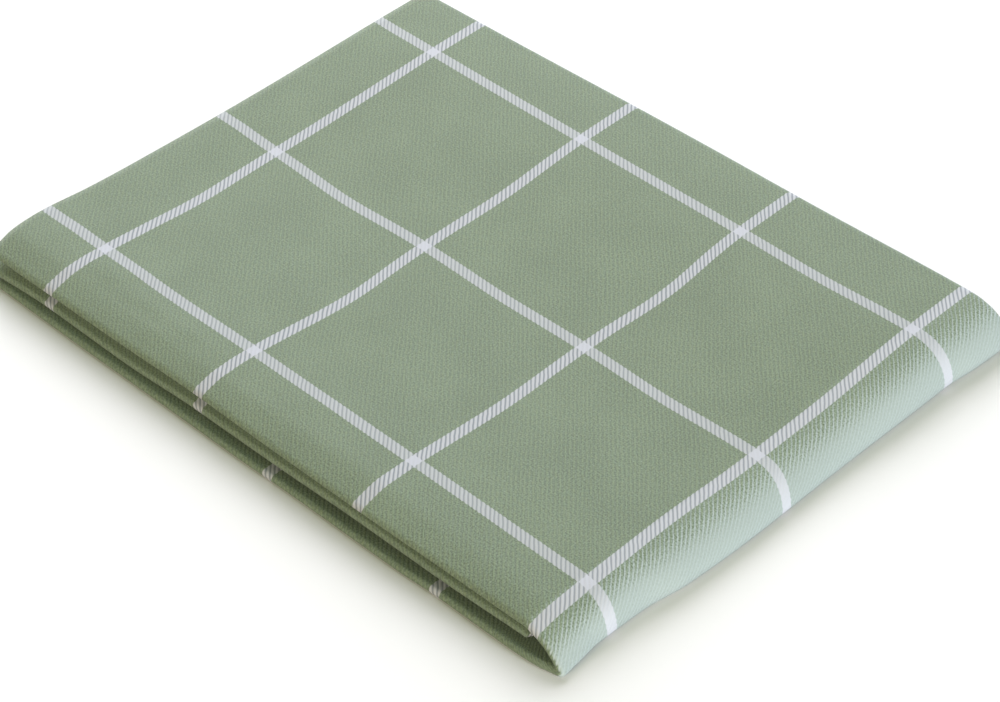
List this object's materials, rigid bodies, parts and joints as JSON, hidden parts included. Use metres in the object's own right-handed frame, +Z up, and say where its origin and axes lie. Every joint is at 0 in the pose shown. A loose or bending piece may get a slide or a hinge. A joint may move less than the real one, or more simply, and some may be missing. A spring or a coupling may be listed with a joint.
{
  "type": "folded tea towel",
  "caption": "Cotton tea towel folded into a neat flat rectangle, with a light windowpane check on sage green.",
  "frame": {"origin": "centre of the folded towel's outline, on the table it lies on", "axes": "+X runs from the open edges to the last fold, along the longest side; +Y runs from the front folds to the back folds; +Z is up, out of the table"},
  "size_m": [0.2248, 0.1784, 0.0131],
  "materials": {
    "cotton": "matte woven cotton twill"
  },
  "bodies": {
    "root": {"towel_cloth": "cotton"}
  },
  "joints": []
}
